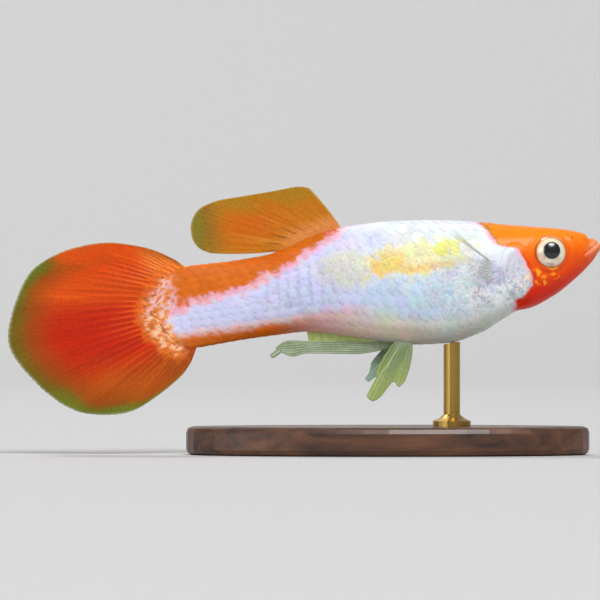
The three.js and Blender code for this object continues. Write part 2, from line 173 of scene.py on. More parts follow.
widest_up = smooth_profile([
    (0, 0), (1, 0), (4.3, -0.25), (8, -0.7), (13, -1), (20, -0.25), (27, 0), (35, 0), (38.3, -0.1),
])
top_squareness = smooth_profile([(0, 2.1), (1.5, 2.6), (6, 2.5), (12, 2.1), (20, 2), (35, 1.9), (38.3, 1.9)])
bottom_squareness = smooth_profile([
    (0, 2.1), (5, 1.9), (9, 2), (16, 2.1), (24, 1.9), (35, 1.9), (38.3, 1.9),
])
# Where the orange cap ends, as a distance back by height, and the lower edge of the band along the back
cap_edge = smooth_profile([
    (-4.5, 7.9), (-3.5, 7.8), (-3.2, 7.1), (-2.7, 6.55), (-2.06, 6.28), (-1.47, 6.22), (-0.74, 6.5), (0, 6.8),
    (0.69, 7.02), (0.97, 7.35), (1.2, 8.25), (1.4, 8.78), (1.92, 9), (2.57, 9.34), (3.6, 9.95),
])
upper_band = smooth_profile([
    (20, 5.2), (21.6, 4.5), (25.2, 2.87), (28, 1.74), (32.4, 0.5), (35, 0.3), (36.5, -0.1), (39, -0.4),
])
MOUTH = np.array([(-1, 1.05), (0.2, 0.36), (1.55, -0.5)])


def step(low, high, x):
    """0 below low, 1 above high, and a smooth rise between; falls where high is below low."""
    t = np.clip((x - low) / (high - low), 0, 1)
    return t * t * (3 - 2 * t)


def hump(x, middle, reach):
    """1 at the middle, falling smoothly away on both sides."""
    return np.exp(-(((x - middle) / reach) ** 2))


def blob(back, up, centre, reach):
    """1 at the centre of an oval in side view, falling smoothly away round it."""
    return hump(back, centre[0], reach[0]) * hump(up, centre[1], reach[1])


def mottle(points, size, seed):
    """Smooth random values from 0 to 1, in patches of about this size in millimetres."""
    p = np.asarray(points, float) / size + seed * 17.31
    cell = np.floor(p).astype(np.int64)
    part = p - cell
    part = part * part * (3 - 2 * part)
    total = np.zeros(p.shape[:-1])
    primes = np.array([374761393, 668265263, 2147483647])
    for corner in range(8):
        offset = np.array([corner & 1, corner >> 1 & 1, corner >> 2 & 1])
        mixed = (((cell + offset) * primes).sum(-1) + seed * 974634777) & 0xFFFFFFFF
        mixed = ((mixed ^ (mixed >> 13)) * 1274126177) & 0xFFFFFFFF
        mixed = (mixed ^ (mixed >> 16)) & 0xFFFF
        weight = np.prod(np.where(offset == 1, part, 1 - part), axis=-1)
        total += weight * mixed / 65535
    return total


def along_rays(u, v, across, along, seed):
    """mottle over a fin, with so many patches across the fin and along a ray."""
    return mottle(np.stack([v * across, u * along, u * 0], -1), 1, seed)


def linear_values(paint):
    """A colour's linear values, from an sRGB code or from values that are linear already."""
    return np.asarray(to_linear(paint) if isinstance(paint, str) else paint)


def painted(base, *washes):
    """The base colour with (colour, weight) washes laid over it in turn."""
    shade = linear_values(base)
    for top, weight in washes:
        shade = shade + (linear_values(top) - shade) * np.asarray(weight)[..., None]
    return shade


class BodySurface:
    """The skin by distance back and girth: 0 on the back, 1 on the belly, + on the left, - on the right."""

    def __init__(self):
        self.backs = np.concatenate([np.linspace(0.02, 2.5, 130), np.linspace(2.5, BODY_END, 380)[1:]])
        self.girths = np.linspace(0, 1, 181)
        angle = np.linspace(math.pi / 2, -math.pi / 2, 721)
        c, s = np.cos(angle).clip(0), np.sin(angle)
        above = s >= 0
        outs, ups = [], []
        for back in self.backs:
            power = 2 / np.where(above, top_squareness(back), bottom_squareness(back))
            middle = widest_up(back)
            height = np.where(above, top_line(back) - middle, middle - bottom_line(back)) - COAT
            out = (half_width(back) - COAT) * c**power
            up = middle + np.sign(s) * height * np.abs(s) ** power
            run = np.concatenate([[0], np.cumsum(np.hypot(np.diff(out), np.diff(up)))])
            outs.append(np.interp(self.girths * run[-1], run, out))
            ups.append(np.interp(self.girths * run[-1], run, up))
        self.points = np.stack([-np.repeat(self.backs[:, None], len(self.girths), 1), outs, ups], -1)
        along = np.gradient(self.points, self.backs, axis=0)
        normals = np.cross(np.gradient(self.points, self.girths, axis=1), along)
        normals[:, 0] = np.cross([0, 1, 0], along[:, 0])
        normals[:, -1] = np.cross([0, -1, 0], along[:, -1])
        outwards = np.sign(normals[200, 90, 1])
        self.normals = outwards * normals / np.linalg.norm(normals, axis=-1, keepdims=True)

    def at(self, back, girth):
        """(points, normals) at arrays of distances back and girths."""
        back, girth = np.broadcast_arrays(np.asarray(back, float), np.asarray(girth, float))
        i = np.clip(np.searchsorted(self.backs, back) - 1, 0, len(self.backs) - 2)
        fi = np.clip((back - self.backs[i]) / (self.backs[i + 1] - self.backs[i]), 0, 1)[..., None]
        g = np.clip(np.abs(girth), 0, 1) * (len(self.girths) - 1)
        j = np.clip(np.floor(g).astype(int), 0, len(self.girths) - 2)
        fj = (g - j)[..., None]
        results = []
        for grid in (self.points, self.normals):
            low = grid[i, j] * (1 - fj) + grid[i, j + 1] * fj
            high = grid[i + 1, j] * (1 - fj) + grid[i + 1, j + 1] * fj
            value = low * (1 - fi) + high * fi
            value[..., 1] *= np.where(girth < 0, -1.0, 1.0)
            results.append(value)
        results[1] /= np.linalg.norm(results[1], axis=-1, keepdims=True)
        return results


BODY = BodySurface()


def flank_out(back, up):
    """How far out the solids' flank is at a point of the side view."""
    above = up >= widest_up(back)
    edge, power = (top_line, top_squareness) if above else (bottom_line, bottom_squareness)
    share = (up - widest_up(back)) / (edge(back) - widest_up(back))
    return float(half_width(back) * (1 - share ** power(back)) ** (1 / power(back)))


def belly_up(back, out):
    """How high the solids' underside is at a distance from the middle."""
    power = bottom_squareness(back)
    share = np.minimum(1, abs(out) / half_width(back))
    return widest_up(back) - (widest_up(back) - bottom_line(back)) * (1 - share**power) ** (1 / power)


def beside_mouth(back, up):
    """(distance to the line of the mouth in side view, height above it)"""
    best = np.full(np.shape(back), 1e9)
    above = np.zeros_like(best)
    for start, end in zip(MOUTH[:-1], MOUTH[1:]):
        run = end - start
        t = np.clip(((back - start[0]) * run[0] + (up - start[1]) * run[1]) / run.dot(run), 0, 1)
        db, du = back - start[0] - t * run[0], up - start[1] - t * run[1]
        near = np.hypot(db, du)
        closer = near < best
        best = np.where(closer, near, best)
        above = np.where(closer, np.where(run[0] * du - run[1] * db > 0, near, -near), above)
    return best, above


def gill_inside(back, up):
    """How far inside the gill cover's edge a side-view point is, in about millimetres."""
    return (1 - np.hypot((back - 7.35) / 1.27, (up + 1.25) / 2.28)) * 1.4


def relief(back, up):
    """The head's lips, sockets, nostrils and gill covers, as a height above the plain body."""
    near, above = beside_mouth(back, up)
    mouth = step(1.75, 1.4, back)
    height = -0.14 * hump(near, 0, 0.075) * mouth
    height += 0.05 * hump(above, -0.24, 0.13) * mouth
    height += 0.04 * hump(above, 0.22, 0.12) * mouth * step(1.1, 0.9, back)
    eye = np.hypot(back - EYE_BACK, up - EYE_UP)
    height += -1.0 * step(1.3, 0.95, eye) + 0.05 * hump(eye, 1.42, 0.12) - 0.05 * hump(eye, 1.75, 0.16)
    nostril = np.hypot(back - NOSTRIL[0], up - NOSTRIL[1])
    height += -0.16 * hump(nostril, 0, 0.13) + 0.035 * hump(nostril, 0.25, 0.07)
    inside = gill_inside(back, up)
    rear = step(6.5, 7.6, back)
    height += 0.1 * step(-0.02, 0.14, inside) * rear + 0.035 * step(0, 0.5, inside) * (1 - rear)
    height += -0.1 * hump(inside, -0.1, 0.09) * rear
    cheek = 5.85 + 0.1 * (up + 1.2) ** 2
    height += -0.035 * hump(back, cheek, 0.09) * step(-3.6, -3, up) * step(0.4, -0.2, up)
    return height


def flank_paint(back, up, coarse, medium, fine, settings):
    """Pearl, lavender and blue, a gold patch, faint bars towards the tail, the belly and the orange bands."""
    lower = step(0.9, -0.8, up + 0.8 * medium) * step(10.5, 13, back) * step(23, 18.5, back)
    aqua = step(0.0, 0.25, medium + 0.5 * fine) * blob(back, up, (12.6, -1.9), (2.2, 2))
    gold = step(0.3, 0.75, blob(back, up, (16, 1.35), (5.6, 1.75)) + 0.5 * medium + 0.35 * fine)
    cream = step(0.25, 0.7, blob(back, up, (21.7, 1.2), (2.6, 1.9)) + 0.35 * medium)
    warm = step(0.35, 0.8, blob(back, up, (17.9, 1.1), (2.1, 1.3)) + 0.7 * medium)
    seam = step(0.3, 0.8, blob(back, up, (14.6, 0.35), (3.2, 0.45)) + 0.3 * medium)
    lemon = step(0.4, 0.75, blob(back, up, (12.9, 1.75), (1.6, 0.85)) + 0.9 * fine + 0.3 * medium)
    bars = step(0.55, 0.95, np.cos(2 * math.pi * back / 0.95 + 3 * coarse + 0.8 * medium))
    barred = step(0.2, 0.7, blob(back, up, (25.6, 0.2), (3.6, 1.9)) + 0.6 * fine)
    belly = step(-3.4, -4.7, up - 0.25 * step(14, 20, back) * (back - 14) + 0.5 * coarse)
    ragged = 0.55 * medium + 0.45 * fine + 0.25 * coarse
    over = up - upper_band(back) + 1.3 * ragged
    under = -2.35 - up + 0.7 * ragged
    return painted(
        settings.pearl,
        (settings.lavender, step(15, 23, back + 3 * coarse)),
        (settings.ice, 0.85 * lower),
        ("#b9e4e8", 0.7 * aqua),
        (settings.gold, 0.62 * gold),
        ("#d6d8ae", 0.6 * cream),
        ("#f3bd5a", 0.75 * warm),
        ("#e9b35e", 0.6 * seam),
        ("#dfe63a", 0.75 * lemon),
        ("#9496b2", 0.4 * bars * barred),
        (settings.belly, 0.9 * belly * step(6.8, 9, back) * step(24, 18, back)),
        ("#e8c0ae", 0.6 * blob(back, up, (17.5, -4.9), (2.2, 0.9))),
        ("#efdcbe", 0.75 * blob(back, up, (21.5, -4.2), (3.6, 0.9))),
        ("#f0a6b4", 0.85 * step(-0.75, -0.1, over) * step(20.5, 22, back)),
        (settings.ember, step(-0.05, 0.45, over) * step(20.5, 22, back)),
        ("#eab39f", 0.8 * step(-0.7, 0.1, under) * step(18.5, 24, back)),
        (settings.ember, step(-0.05, 0.45, under) * step(23.2, 28.5, back)),
    )


def tail_root_paint(points, shade):
    """Adds the speckled patch where the body's scales run out over the tail fin."""
    back, up = -points[..., 0], points[..., 2]
    flat = points * [1, 0.2, 1]
    fine = mottle(flat, 0.2, 13)
    medium = mottle(flat, 0.45, 14) - 0.5
    ring = np.hypot(back - 35.3, (up + 0.55) * 1.05) + 0.9 * medium + 0.5 * (fine - 0.5)
    speckles = painted(
        "#e07c38",
        ("#f0bd94", step(0.45, 0.62, fine)),
        ("#d3a4b6", 0.7 * step(-0.9, 0.5, up) * step(0.48, 0.62, fine + 0.3 * medium)),
        ("#8f5418", 0.7 * step(0.3, 0.18, fine)),
    )
    behind = step(35.7, 36.6, back + 0.8 * medium)
    return painted(
        shade,
        ("#de6c22", 0.8 * step(4.6, 4, ring) * step(1.7, 2.1, ring) * behind),
        (speckles, 0.95 * step(4, 3.5, ring) * step(1.5, 1.9, ring) * behind),
    )


def body_markings_and_eye_shade(points, settings):
    """The guppy's colours at points of its body and a painted shadow round the eye, the same on skin and
    scales.
    """
    back, up = -points[..., 0], points[..., 2]
    patterns = ((1.3, 1), (0.5, 2), (0.22, 3))
    coarse, medium, fine = (mottle(points, size, seed) - 0.5 for size, seed in patterns)
    shade = flank_paint(back, up, coarse, medium, fine, settings)
    shade = np.where(back[..., None] > 34.5, tail_root_paint(points, shade), shade)

    rear = cap_edge(up) - back + 0.22 * (medium + fine)
    flecks = step(0.02, 0.2, fine + 0.5 * medium) * step(0.25, 0.6, blob(back, up, (5.0, -1.75), (1.5, 0.85)))
    cap = painted(
        settings.cap,
        (settings.cheek, step(1.6, -0.9, up + 0.3 * coarse)),
        (settings.throat, step(-1, -3.1, up + 0.12 * (back - 5) + 0.3 * coarse)),
        ("#ffa21e", 0.85 * flecks),
        ("#a67512", 0.8 * step(0.5, 0.15, rear + 0.3 * medium) * step(0.9, 1.4, up)),
        ("#c22a04", 0.6 * step(0.42, 0.15, rear) * step(0.7, 0.2, up) * step(-2.6, -1.8, up)),
    )
    behind = step(0.1, -0.3, rear)
    gill = step(0.05, 0.35, gill_inside(back, up)) * behind
    sandy = step(0.0, 0.2, fine + 0.4 * medium) * step(-1.1, -0.6, rear) * step(0, -0.7, up)
    mossy = step(0.08, 0.22, fine) * step(-1.5, -0.9, rear) * blob(back, up, (7.1, -2.9), (0.7, 0.6))
    lilac = step(0.25, 0.8, blob(back, up, (9.9, -1.1), (1.9, 1.7)) + 0.4 * medium)
    frost = step(0.0, 0.22, fine + 0.6 * medium) * step(0.3, 0.7, blob(back, up, (8.9, -2.9), (2.6, 1.1)))
    sooty = step(-0.16, -0.3, fine) * step(0.2, 0.6, blob(back, up, (9, -2.2), (3, 1.8)))
    lips = hump(beside_mouth(back, up)[0], 0, 0.42) * step(1.7, 0.6, back)
    eye = np.hypot(back - EYE_BACK, up - EYE_UP)
    shade = painted(
        shade,
        ("#efb0c2", step(-0.5, -0.1, rear + 0.5 * fine) * step(4, 5, back)),
        (cap, step(-0.12, 0.12, rear)),
        ("#b9b6c6", 0.75 * gill),
        ("#f6cf9c", 0.85 * sandy * behind * step(-3.3, -2.7, up)),
        ("#bcd07c", 0.8 * mossy * behind),
        ("#a9a7c6", 0.8 * lilac),
        ("#eaf2ee", 0.85 * frost * behind),
        ("#8f95a4", 0.6 * sooty * behind),
        ("#f0a47a", 0.8 * lips),
        # Painted shadow: a darker orange ring in the socket round the eye
        ("#b34004", 0.55 * hump(eye, 1.28, 0.14)),
    )
    return np.clip(shade * (1 + 0.1 * fine + 0.06 * medium)[..., None], 0, 1)


def gill_glitter(back, up):
    cover = (0.2 + 0.45 * step(-0.8, -2, up)) * step(0, 0.4, gill_inside(back, up)) * step(6.3, 6.8, back)
    return cover + 0.35 * blob(back, up, (5.2, -1.7), (1.1, 1))


def shoulder_glitter(back, up):
    shoulder = 0.48 * blob(back, up, (11.5, -1.5), (3.2, 3.4))
    return np.clip(0.1 + shoulder + 0.2 * blob(back, up, (17, 1.5), (5, 2)), 0, 1)


def fish_to_world(points):
    """Points in the fish's own frame, millimetres, as points in the model's frame, metres."""
    x, y, z = points[..., 0], points[..., 1], points[..., 2]
    c, s = math.cos(PITCH), math.sin(PITCH)
    return np.stack([SNOUT_X + x * c - z * s, y, SNOUT_Z + x * s + z * c], -1) * 0.001


def grid_faces(rows, columns, closed=False):
    """Quads over a grid of points, row by row; closed joins the last column to the first."""
    r, c = np.meshgrid(np.arange(rows - 1), np.arange(columns if closed else columns - 1), indexing="ij")
    start, following = r * columns, (c + 1) % columns
    quads = [start + c, start + following, start + columns + following, start + columns + c]
    return np.stack(quads, -1).reshape(-1, 4)


def grid_rim(rows, columns):
    """The points round the edge of a grid, in order."""
    return np.concatenate([
        np.arange(columns - 1),
        np.arange(rows - 1) * columns + columns - 1,
        (rows - 1) * columns + np.arange(columns - 1, 0, -1),
        np.arange(rows - 1, 0, -1) * columns,
    ])


def signed_volume(points, faces):
    """Positive where the groups of faces point outwards, negative where they point inwards."""
    total = 0
    for group in faces:
        corners = [points[group[:, k]] for k in range(group.shape[1])]
        for second, third in zip(corners[1:], corners[2:]):
            total += np.einsum("ij,ij->i", corners[0], np.cross(second, third)).sum()
    return total


def make_piece(name, points, faces, material, colours, numbers=None, patches=None, crisp=None):
    """A closed mesh in the fish's frame, its faces turned outwards, smooth except between crisp points."""
    world = fish_to_world(np.asarray(points, float))
    turn = 1 if signed_volume(world, faces) > 0 else -1
    mesh = bpy.data.meshes.new(name)
    mesh.from_pydata(world.tolist(), [], [face[::turn] for group in faces for face in group.tolist()])
    mesh.shade_smooth()
    if crisp is not None:
        ends = np.zeros(len(mesh.edges) * 2, np.int32)
        mesh.edges.foreach_get("vertices", ends)
        both = np.asarray(crisp, bool)[ends].reshape(-1, 2).all(1)
        mesh.attributes.new("sharp_edge", "BOOLEAN", "EDGE").data.foreach_set("value", both)
    layer = mesh.color_attributes.new("markings", "FLOAT_COLOR", "POINT")
    rgba = np.concatenate([colours, np.ones((len(colours), 1))], 1)
    layer.data.foreach_set("color", rgba.astype(np.float32).ravel())
    for key, values in (numbers or {}).items():
        layer = mesh.attributes.new(key, "FLOAT", "POINT")
        layer.data.foreach_set("value", np.asarray(values, np.float32).ravel())
    if patches is not None:
        order = np.zeros(len(mesh.loops), np.int32)
        mesh.loops.foreach_get("vertex_index", order)
        layer = mesh.uv_layers.new(name="OFBake")
        layer.data.foreach_set("uv", np.asarray(patches, np.float32)[order].ravel())
    mesh.materials.append(material)
    mesh.validate()
    piece = bpy.data.objects.new(name, mesh)
    bpy.context.scene.collection.objects.link(piece)
    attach(piece, "root")
    return piece


def plug(tree, target, inputs):
    """Links sockets to a node's inputs, and sets values on them."""
    for key, value in inputs.items():
        if isinstance(value, bpy.types.NodeSocket):
            tree.links.new(value, target.inputs[key])
        else:
            target.inputs[key].default_value = value


def node(tree, kind, inputs, **settings):
    """Adds a node with its settings, and sets or links its inputs."""
    made = tree.nodes.new(kind)
    for key, value in settings.items():
        setattr(made, key, value)
    plug(tree, made, inputs)
    return made


def new_material(name):
    """(material, its tree, its Principled shader, a piece's own coordinates)"""
    material = bpy.data.materials.new(name)
    material.use_nodes = True
    tree = material.node_tree
    place = node(tree, "ShaderNodeTexCoord", {}).outputs["Object"]
    return material, tree, tree.nodes["Principled BSDF"], place


def per_metre(millimetres):
    """The texture scale that gives features of this size."""
    return 1000 / millimetres


def shaded(tree, paint, pattern, ends, shades):
    """The paint times shades, which run from the first to the second as the pattern does between ends."""
    reach = {"From Min": ends[0], "From Max": ends[1], "To Min": shades[0], "To Max": shades[1]}
    share = node(tree, "ShaderNodeMapRange", {"Value": pattern, **reach}).outputs[0]
    inputs = {"Factor": 1.0, "A": paint, "B": share}
    return node(tree, "ShaderNodeMix", inputs, data_type="RGBA", blend_type="MULTIPLY").outputs["Result"]


def pearly_skin(name, glitter, bump_height):
    """Wet guppy skin: pigment under a film of slime. Tiny reflecting cells give a broken, pearly glitter."""
    material, tree, shader, place = new_material(name)
    paint = node(tree, "ShaderNodeAttribute", {}, attribute_name="markings").outputs["Color"]
    # Clumps of reflecting cells, each at its own tilt and so in its own tint. Their size is guessed
    inputs = {"Vector": place, "Scale": per_metre(PLATELET), "Smoothness": 0.55}
    cells = node(tree, "ShaderNodeTexVoronoi", inputs, feature="SMOOTH_F1")
    inputs = {"Color": cells.outputs["Color"], "Saturation": 0.45, "Value": 1.2}
    tint = node(tree, "ShaderNodeHueSaturation", inputs).outputs[0]
    amount = node(tree, "ShaderNodeAttribute", {}, attribute_name="glitter").outputs["Fac"]
    strength = node(tree, "ShaderNodeMath", {0: amount, 1: glitter}, operation="MULTIPLY").outputs[0]
    inputs = {"Factor": strength, "A": paint, "B": tint}
    lit = node(tree, "ShaderNodeMix", inputs, data_type="RGBA", blend_type="OVERLAY").outputs["Result"]
    # Dark pigment cells: pepper specks finer than a scale
    specks = node(tree, "ShaderNodeTexNoise", {"Vector": place, "Scale": per_metre(PEPPER), "Detail": 2.0})
    specks = specks.outputs["Fac"]
    rough = node(tree, "ShaderNodeMapRange", {"Value": specks, "To Min": 0.3, "To Max": 0.5})
    inputs = {"Height": cells.outputs["Distance"], "Strength": 0.25, "Distance": bump_height}
    plug(tree, shader, {
        "Base Color": shaded(tree, lit, specks, (0.3, 0.42), (0.86, 1.0)),
        "Roughness": rough.outputs[0],
        "Normal": node(tree, "ShaderNodeBump", inputs).outputs[0],
        "IOR": WET_IOR,
        "Specular IOR Level": 0.25,
        "Coat Weight": 0.14,
        "Coat Roughness": SLIME_ROUGHNESS,
    })
    return material


def fin_membrane(name, roughness):
    """Fin membrane: thin, wet and translucent skin stretched over bony rays, clouded by pigment cells."""
    material, tree, shader, place = new_material(name)
    paint = node(tree, "ShaderNodeAttribute", {}, attribute_name="markings").outputs["Color"]
    body = node(tree, "ShaderNodeAttribute", {}, attribute_name="body").outputs["Fac"]
    cloud = node(tree, "ShaderNodeTexNoise", {"Vector": place, "Scale": per_metre(PIGMENT), "Detail": 3.0})
    cloud = cloud.outputs["Fac"]
    inputs = {"Value": cloud, "To Min": roughness - 0.08, "To Max": roughness + 0.08}
    rough = node(tree, "ShaderNodeMapRange", inputs)
    bump = node(tree, "ShaderNodeBump", {"Height": cloud, "Strength": 0.2, "Distance": 0.00003})
    plug(tree, shader, {
        "Base Color": shaded(tree, paint, cloud, (0.3, 0.7), (0.88, 1.1)),
        "Alpha": body,
        "Roughness": rough.outputs[0],
        "Normal": bump.outputs[0],
        "IOR": WET_IOR,
        "Specular IOR Level": 0.22,
        "Coat Weight": 0.08,
        "Coat Roughness": SLIME_ROUGHNESS,
    })
    return material


def wet_eye():
    """A clear wet cornea over a silver iris: the coat gives the sharp gloss, the base the iris."""
    material, tree, shader, place = new_material("wet_eye")
    paint = node(tree, "ShaderNodeAttribute", {}, attribute_name="markings").outputs["Color"]
    grain = node(tree, "ShaderNodeTexNoise", {"Vector": place, "Scale": per_metre(IRIS_GRAIN), "Detail": 3.0})
    plug(tree, shader, {
        "Base Color": shaded(tree, paint, grain.outputs["Fac"], (0.3, 0.7), (0.86, 1.08)),
        "Roughness": 0.22,
        "Coat Weight": 0.6,
        "Coat Roughness": 0.02,
    })
    return material


def waxed_walnut():
    """Waxed walnut: brown heartwood with darker growth lines along the grain and a soft, even gloss."""
    material, tree, shader, place = new_material("waxed_walnut")
    # Growth lines 10 mm long and 1.5 mm wide, and pores 1.4 mm long and a sixth of a millimetre wide
    stretched = node(tree, "ShaderNodeMapping", {"Vector": place, "Scale": (60.0, 420.0, 420.0)})
    inputs = {"Vector": stretched.outputs[0], "Scale": 1.6, "Detail": 5.0, "Distortion": 0.6}
    rings = node(tree, "ShaderNodeTexNoise", inputs)
    stretched = node(tree, "ShaderNodeMapping", {"Vector": place, "Scale": (700.0, 6000.0, 6000.0)})
    pores = node(tree, "ShaderNodeTexNoise", {"Vector": stretched.outputs[0], "Scale": 1.0, "Detail": 2.0})
    ramp = node(tree, "ShaderNodeValToRGB", {"Fac": rings.outputs["Fac"]})
    for stop, position, code in zip(ramp.color_ramp.elements, (0.35, 0.66), ("#2e1a0f", "#6b4228")):
        stop.position = position
        stop.color = (*to_linear(code), 1)
    pores = pores.outputs["Fac"]
    bump = node(tree, "ShaderNodeBump", {"Height": pores, "Strength": 0.2, "Distance": 0.00005})
    plug(tree, shader, {
        "Base Color": shaded(tree, ramp.outputs[0], pores, (0.3, 0.45), (0.7, 1.0)),
        "Normal": bump.outputs[0],
        "Roughness": 0.42,
        "Coat Weight": 0.15,
    })
    return material


def brushed_brass():
    """Brushed brass: warm metal with fine turning marks round the rod."""
    material, tree, shader, place = new_material("brushed_brass")
    stretch = (300.0, 300.0, per_metre(TURNING_MARK))
    marks = node(tree, "ShaderNodeMapping", {"Vector": place, "Scale": stretch})
    brushed = node(tree, "ShaderNodeTexNoise", {"Vector": marks.outputs[0], "Scale": 1.0, "Detail": 3.0})
    brushed = brushed.outputs["Fac"]
    rough = node(tree, "ShaderNodeMapRange", {"Value": brushed, "To Min": 0.25, "To Max": 0.45})
    plug(tree, shader, {
        "Base Color": shaded(tree, (*to_linear("#b8964e"), 1), brushed, (0, 1), (0.85, 1.1)),
        "Roughness": rough.outputs[0],
        "Metallic": 1.0,
    })
    return material


def matt_paper():
    """Matt paper: even, pale and free of gloss, with a faint cloud of fibres."""
    material, tree, shader, place = new_material("matt_paper")
    inputs = {"Vector": place, "Scale": per_metre(PAPER_FIBRE), "Detail": 4.0}
    fibre = node(tree, "ShaderNodeTexNoise", inputs)
    tone = node(tree, "ShaderNodeMapRange", {"Value": fibre.outputs["Fac"], "To Min": 0.48, "To Max": 0.52})
    plug(tree, shader, {"Base Color": tone.outputs[0], "Roughness": 0.9})
    return material


def side_curve(points):
    """A smooth side-view line through (back, up) points, read by its share of length."""
    pts = np.array(points, float)
    ends = np.vstack([2 * pts[0] - pts[1], pts, 2 * pts[-1] - pts[-2]])
    dense = []
    for k in range(len(pts) - 1):
        layer = ends[k : k + 4]
        knots = np.concatenate([[0], np.cumsum(np.sqrt(np.linalg.norm(np.diff(layer, axis=0), axis=1)))])
        t = np.linspace(knots[1], knots[2], 24, endpoint=False)[:, None]
        for reach in (1, 2):
            layer = [
                ((knots[i + reach] - t) * layer[i] + (t - knots[i]) * layer[i + 1])
                / (knots[i + reach] - knots[i])
                for i in range(4 - reach)
            ]
        dense.append(((knots[2] - t) * layer[0] + (t - knots[1]) * layer[1]) / (knots[2] - knots[1]))
    line = np.vstack([*dense, pts[-1:]])
    run = np.concatenate([[0], np.cumsum(np.linalg.norm(np.diff(line, axis=0), axis=1))])

    def at(share):
        length_along = np.asarray(share) * run[-1]
        back, up = np.interp(length_along, run, line[:, 0]), np.interp(length_along, run, line[:, 1])
        return np.stack([-back, np.zeros_like(back), up], -1)

    return at


def fanned(root, tip, normal, sweep=0.0):
    """A fin's middle surface: rays from root(v) to tip(v), curved a little by sweep."""

    def at(u, v):
        ray = tip(v) - root(v)
        across = np.cross(np.broadcast_to(normal, ray.shape), ray)
        return root(v) + ray * u[..., None] + across * (4 * sweep * u * (1 - u) * (v - 0.5))[..., None]

    return at


def ray_ridges(u, v, rays, forks):
    """How near a point is to a fin ray, 0 to 1. Each ray forks at the shares of its length in forks."""
    ridge = np.zeros_like(u)
    count, strength = rays, np.ones_like(u)
    for fork in (*forks, None):
        line = hump(np.abs(((v * count) % 1) - 0.5), 0, 0.2)
        following = step(fork - 0.06, fork + 0.06, u) if fork else np.zeros_like(u)
        ridge += strength * (1 - following) * line
        strength = strength * following
        count *= 2
    return ridge


def fin_piece(
    name, at, normal, material, paint, settings, rays, forks=(), rows=44, fine=8, bend=None, thin=1.0,
    ridge=1.0, notch=0.015, bodies=(0.93, 0.75), lead=0.0, fleshy=0.0,
):
    """A closed fin with its rays raised on both faces.

    at(u, v) is its middle surface, u from root to edge and v across the rays. paint(points, u, v, ray) gives
    its colours. bodies is how solid a ray and the membrane look, lead and fleshy what the first ray and the
    root add to that.
    """
    columns = rays * 2 ** len(forks) * fine // 2 + 1
    u, v = np.meshgrid(np.linspace(0, 1, rows), np.linspace(0, 1, columns), indexing="ij")
    margin = ray_ridges(np.ones_like(u), v, rays, forks)
    wander = 0.006 * (along_rays(u, v, rays * 2, 0, settings.seed) - 0.5) * (v > 0) * (v < 1)
    inside = np.minimum(1, np.minimum(v, 1 - v) * rays * 2)
    reach = u * (1 - notch * (1 - margin) * inside + wander)
    ray = ray_ridges(u, v, rays, forks) * step(0, 0.2, u)
    middle = at(reach, v)
    if bend is not None:
        middle = middle + normal * bend(reach, v)[..., None]
    taper = np.minimum(1, 1.02 - u) ** 0.5
    half = (settings.membrane * 500 * thin + settings.ray_height * 1000 * ridge * ray) * (0.25 + 0.75 * taper)
    colours = paint(middle, u, v, ray).reshape(-1, 3)
    first = hump(v * rays, 0.5, 0.3) * step(1, 0.6, u)
    solid = bodies[1] + (bodies[0] - bodies[1]) * ray + lead * first + fleshy * step(0.26, 0.08, u)
    solid = np.clip(solid, 0, 1).ravel()
    points = np.concatenate([(middle + normal * (face * half)[..., None]).reshape(-1, 3) for face in (1, -1)])
    other = rows * columns
    front, rim = grid_faces(rows, columns), grid_rim(rows, columns)
    following = np.roll(rim, -1)
    edge = np.stack([rim, following, following + other, rim + other], -1)
    faces = np.concatenate([front[:, ::-1], front + other, edge])
    body = {"body": np.concatenate([solid, solid])}
    return make_piece(name, points, [faces], material, np.concatenate([colours, colours]), body)


class GUPPY_OT_skin(bpy.types.Operator):
    """Makes the one skin of head, jaw, gill covers, trunk and tail stalk"""

    bl_idname = "guppy.skin"
    bl_label = "Skin"

    def execute(self, context):
        settings = context.scene.guppy
        stretches = ((0.02, 2.5, 84), (2.5, 9.6, 122), (9.6, BODY_END, 130))
        backs = np.unique(np.concatenate([np.linspace(*stretch) for stretch in stretches]))
        girths = np.linspace(-1, 1, 150, endpoint=False)
        back, girth = np.meshgrid(backs, girths, indexing="ij")
        points, normals = BODY.at(back, girth)
        points = points + normals * relief(back, points[..., 2])[..., None]
        shades = body_markings_and_eye_shade(points, settings)
        sparkle = step(8.3, 9.5, back) * 0.25 + gill_glitter(back, points[..., 2])
        rows, count = back.shape
        ring = np.arange(count)
        following = np.roll(ring, -1)
        rear = (rows - 1) * count
        front_fan = np.stack([np.full(count, rows * count), ring, following], -1)
        rear_fan = np.stack([np.full(count, rows * count + 1), rear + following, rear + ring], -1)
        quads = grid_faces(rows, count, closed=True)
        halves = np.concatenate([quads[:, [0, 1, 2]], quads[:, [0, 2, 3]], front_fan, rear_fan])
        skin = make_piece(
            "skin",
            np.vstack([points.reshape(-1, 3), points[0].mean(0) + [0.02, 0, 0], points[-1].mean(0)]),
            [halves],
            pearly_skin("wet_guppy_skin", 0.9, 0.00002),
            np.vstack([shades.reshape(-1, 3), shades[0].mean(0), shades[-1].mean(0)]),
            {"glitter": np.concatenate([sparkle.ravel(), [0, 0]])},
        )
        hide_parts("head", "lower_jaw", "gill_cover_right", "gill_cover_left", "trunk", "tail_stalk")
        return {"FINISHED"}


def scale_places(settings, side):
    """(back, girth, start of its row) of the middle of each scale on one side, in staggered rows."""
    pitch = settings.scale_length * 1000
    spots = []
    for row in range(settings.scale_rows):
        girth = (row + 0.5) / settings.scale_rows
        start = 8.3 + 0.9 * step(0.12, 0.4, girth) + 0.5 * step(0.6, 0.75, girth)
        for back in np.arange(start, SCALES_END, pitch):
            spots.append((back + 0.5 * (row % 2) * pitch, side * girth, start))
    return sorted(spots)


